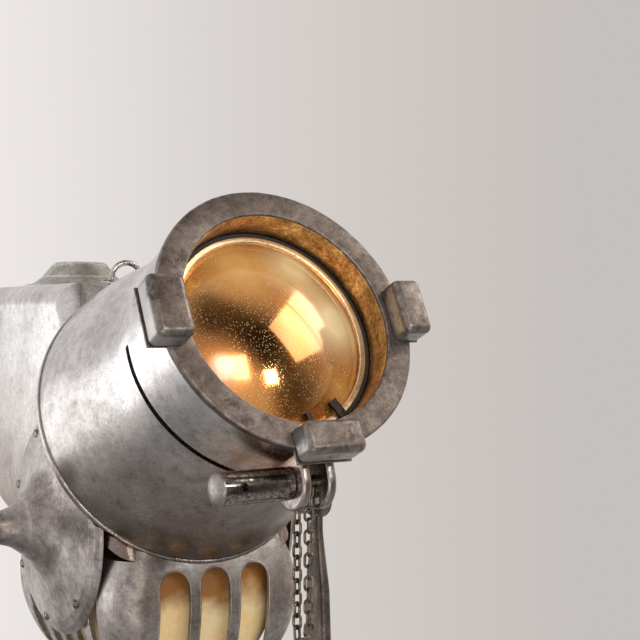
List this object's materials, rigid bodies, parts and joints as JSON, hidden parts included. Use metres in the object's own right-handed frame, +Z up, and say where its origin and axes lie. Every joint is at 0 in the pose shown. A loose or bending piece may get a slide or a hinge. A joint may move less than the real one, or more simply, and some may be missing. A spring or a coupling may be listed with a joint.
{
  "type": "spotlight floor lamp",
  "caption": "Cast spotlight head with domed lens, filter lugs, pull pin on a chain and vented cage, tilting in a yoke on a telescopic tripod stand.",
  "frame": {"origin": "on the floor, at the centre of the lamp's bounding box", "axes": "+Z up, the lens faces -Y, +X to the right of someone looking along +Y"},
  "size_m": [0.7906, 0.7242, 1.6808],
  "materials": {
    "cast_grey": "aged, mottled, satin",
    "silver_alloy": "worn polished, fine specks",
    "gold": "gold anodised, scratched",
    "rubber": "matt",
    "amber_glass": "clear with small seeds",
    "clear_glass": "clear",
    "dark_steel": "dark polished",
    "bright_steel": "brushed",
    "aged_brass": "aged",
    "ceramic": "glazed off-white",
    "black_plastic": "satin black"
  },
  "bodies": {
    "stand": {"crown": "cast_grey", "leg_pin_1": "bright_steel", "leg_pin_2": "bright_steel", "leg_pin_3": "bright_steel", "outer_column": "bright_steel", "column_cap": "rubber", "column_clamp": "cast_grey"},
    "leg_front": {"leg_top_1": "cast_grey", "leg_tube_1": "bright_steel", "foot_1": "rubber"},
    "leg_right": {"leg_top_2": "cast_grey", "leg_tube_2": "bright_steel", "foot_2": "rubber"},
    "leg_left": {"leg_top_3": "cast_grey", "leg_tube_3": "bright_steel", "foot_3": "rubber"},
    "clamp_screw": {"clamp_knob": "black_plastic"},
    "mast": {"inner_column": "bright_steel", "swivel_socket": "cast_grey"},
    "pan_screw": {"pan_lock_knob": "black_plastic"},
    "yoke": {"yoke": "cast_grey", "pan_spindle": "bright_steel", "thrust_washer": "aged_brass", "tilt_washer_left": "rubber", "tilt_washer_right": "rubber", "pivot_bolt": "bright_steel"},
    "tilt_screw": {"tilt_knob": "black_plastic"},
    "head": {"front_ring": "cast_grey", "lug_left": "cast_grey", "lug_right": "cast_grey", "lug_bottom": "cast_grey", "lens_sleeve": "gold", "lens_gasket": "rubber", "lens_retainer": "gold", "lens": "amber_glass", "lens_clip_small": "dark_steel", "lens_clip_large": "dark_steel", "barrel_shell": "silver_alloy", "housing_shell": "silver_alloy", "vent_cage": "cast_grey", "cage_liner": "gold", "cage_floor": "silver_alloy", "cable_gland": "rubber", "lamp_post": "dark_steel", "lamp_holder": "ceramic", "bulb": "clear_glass", "reflector": "gold", "reflector_bracket": "dark_steel", "side_cheek_left": "silver_alloy", "side_cheek_right": "silver_alloy", "vent_cowl": "silver_alloy", "lifting_eye": "dark_steel", "door_hinge": "dark_steel", "door_hinge_pin": "bright_steel"},
    "door": {"rear_door": "silver_alloy", "door_knob": "bright_steel"},
    "pin": {"pull_pin": "dark_steel"},
    "chain": {"pin_chain": "aged_brass"}
  },
  "joints": [
    {"name": "leg_front_fold", "type": "hinge", "parent": "stand", "child": "leg_front", "pos_m": [0, 0.03149, 0.725], "axis": [1, 0, 0], "range_deg": [0, 24]},
    {"name": "leg_right_fold", "type": "hinge", "parent": "stand", "child": "leg_right", "pos_m": [0.05196, 0.12149, 0.725], "axis": [-0.5, 0.866, 0], "range_deg": [0, 24]},
    {"name": "leg_left_fold", "type": "hinge", "parent": "stand", "child": "leg_left", "pos_m": [-0.05196, 0.12149, 0.725], "axis": [-0.5, -0.866, 0], "range_deg": [0, 24]},
    {"name": "column_height", "type": "slide", "parent": "stand", "child": "mast", "axis": [0, 0, 1], "range_m": [-0.11, 0.16]},
    {"name": "clamp_knob_turn", "type": "hinge", "parent": "stand", "child": "clamp_screw", "pos_m": [0, 0.09149, 0.962], "axis": [0, 1, 0], "range_deg": [0, 180]},
    {"name": "pan", "type": "hinge", "parent": "mast", "child": "yoke", "pos_m": [0, 0.09149, 1.15], "axis": [0, 0, 1], "range_deg": [-175, 175]},
    {"name": "pan_knob_turn", "type": "hinge", "parent": "mast", "child": "pan_screw", "pos_m": [0, 0.09149, 1.1335], "axis": [0, 1, 0], "range_deg": [0, 180]},
    {"name": "tilt", "type": "hinge", "parent": "yoke", "child": "head", "pos_m": [0, 0.09149, 1.4], "axis": [1, 0, 0], "range_deg": [-40, 60]},
    {"name": "tilt_knob_turn", "type": "hinge", "parent": "yoke", "child": "tilt_screw", "pos_m": [-0.2, 0.09149, 1.4], "axis": [-1, 0, 0], "range_deg": [0, 180]},
    {"name": "door_open", "type": "hinge", "parent": "head", "child": "door", "pos_m": [-0.0655, 0.34129, 1.545], "axis": [0, 0, 1], "range_deg": [0, 100]},
    {"name": "pin_pull", "type": "slide", "parent": "head", "child": "pin", "axis": [-1, 0, 0], "range_m": [0, 0.033]},
    {"name": "chain_swing", "type": "hinge", "parent": "head", "child": "chain", "pos_m": [0, -0.17095, 1.45779], "axis": [1, 0, 0], "range_deg": [-35, 35]}
  ]
}
